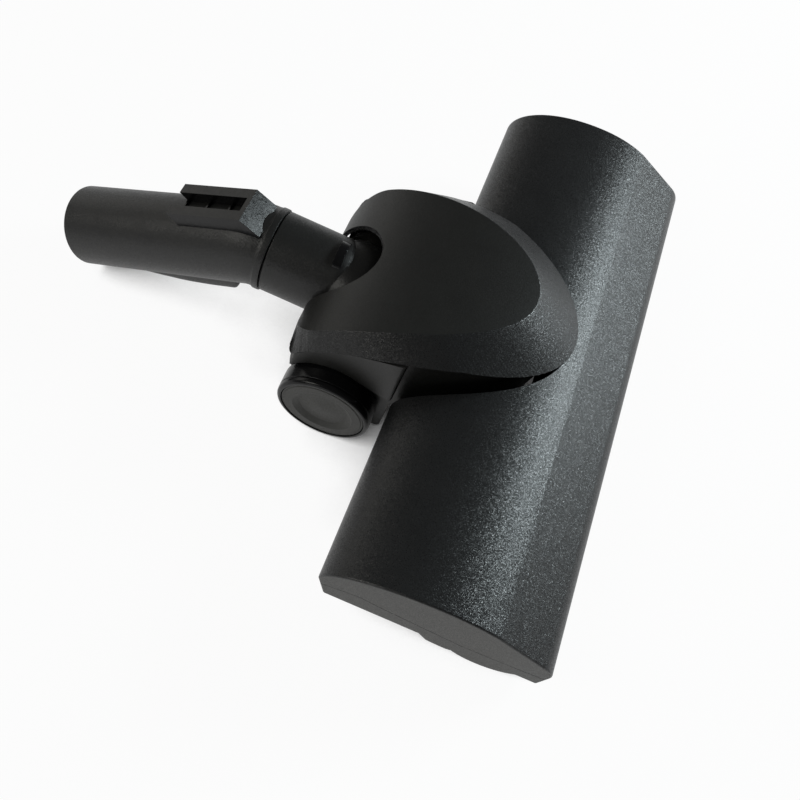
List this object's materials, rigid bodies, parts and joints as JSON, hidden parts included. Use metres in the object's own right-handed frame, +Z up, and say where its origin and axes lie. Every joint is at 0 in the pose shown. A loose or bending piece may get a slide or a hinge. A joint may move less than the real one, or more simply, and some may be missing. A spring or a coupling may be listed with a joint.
{
  "type": "vacuum turbo brush",
  "caption": "Air-driven vacuum floor brush head with a turning brush roll, side wheels, a tilting elbow and a bent swivelling tube.",
  "frame": {"origin": "middle of the part's footprint, on the floor that the end skids and the tube's mouth stand on", "axes": "+X along the head towards the belt side, +Y back from the lip to the tube's mouth, +Z up"},
  "size_m": [0.27, 0.286, 0.0767],
  "materials": {
    "textured_black": "fine-grained satin",
    "satin_black": "satin",
    "base_grey": "matte",
    "gloss_black": "gloss",
    "wheel_grey": "matte",
    "bristle": "matte",
    "roll_grey": "satin",
    "bearing_white": "satin",
    "belt_rubber": "matte",
    "steel": "bright"
  },
  "bodies": {
    "head": {"upper_shell": "textured_black", "base_plate": "base_grey", "brush_tunnel": "satin_black", "end_glide_left": "base_grey", "end_glide_right": "base_grey", "roll_bearing_left": "bearing_white", "roll_bearing_right": "bearing_white"},
    "neck": {"neck_cover": "satin_black", "neck_housing": "satin_black", "drive_belt": "belt_rubber", "turbine_bearing_left": "steel", "turbine_bearing_right": "steel", "wheel_axle_left": "steel", "wheel_axle_right": "steel"},
    "brush_roll": {"roll_core": "roll_grey", "roll_pulley": "bearing_white", "roll_axle": "steel", "bristle_row_left_1": "bristle", "bristle_row_left_2": "bristle", "bristle_row_right_1": "bristle", "bristle_row_right_2": "bristle"},
    "turbine": {"turbine_wheel": "bearing_white", "turbine_shaft": "steel", "turbine_pulley": "bearing_white"},
    "wheel_left": {"tyre_left": "gloss_black", "wheel_disc_left": "wheel_grey"},
    "wheel_right": {"tyre_right": "gloss_black", "wheel_disc_right": "wheel_grey"},
    "elbow": {"elbow_tube": "satin_black", "stop_tab": "gloss_black", "swivel_ring": "bearing_white"},
    "connector": {"connector_tube": "satin_black", "latch_receiver": "gloss_black"}
  },
  "joints": [
    {"name": "neck_pivot", "type": "hinge", "parent": "head", "child": "neck", "pos_m": [0, -0.11679, 0.0195], "axis": [1, 0, 0], "range_deg": [0, 9]},
    {"name": "roll_spin", "type": "hinge", "parent": "head", "child": "brush_roll", "pos_m": [0, -0.11679, 0.0195], "axis": [1, 0, 0], "continuous": true},
    {"name": "turbine_spin", "type": "hinge", "parent": "neck", "child": "turbine", "pos_m": [0, -0.05525, 0.04614], "axis": [1, 0, 0], "continuous": true},
    {"name": "wheel_left_spin", "type": "hinge", "parent": "neck", "child": "wheel_left", "pos_m": [0, -0.01345, 0.0225], "axis": [1, 0, 0], "continuous": true},
    {"name": "wheel_right_spin", "type": "hinge", "parent": "neck", "child": "wheel_right", "pos_m": [0, -0.01345, 0.0225], "axis": [1, 0, 0], "continuous": true},
    {"name": "elbow_tilt", "type": "hinge", "parent": "neck", "child": "elbow", "pos_m": [0, -0.00694, 0.04178], "axis": [1, 0, 0], "range_deg": [0, 50]},
    {"name": "tube_swivel", "type": "hinge", "parent": "elbow", "child": "connector", "pos_m": [0, 0.03334, 0.04828], "axis": [0, 0.9872, 0.1593], "continuous": true}
  ],
  "couplings": [
    {"joint": "roll_spin", "follows": "turbine_spin", "ratio": 0.5}
  ]
}
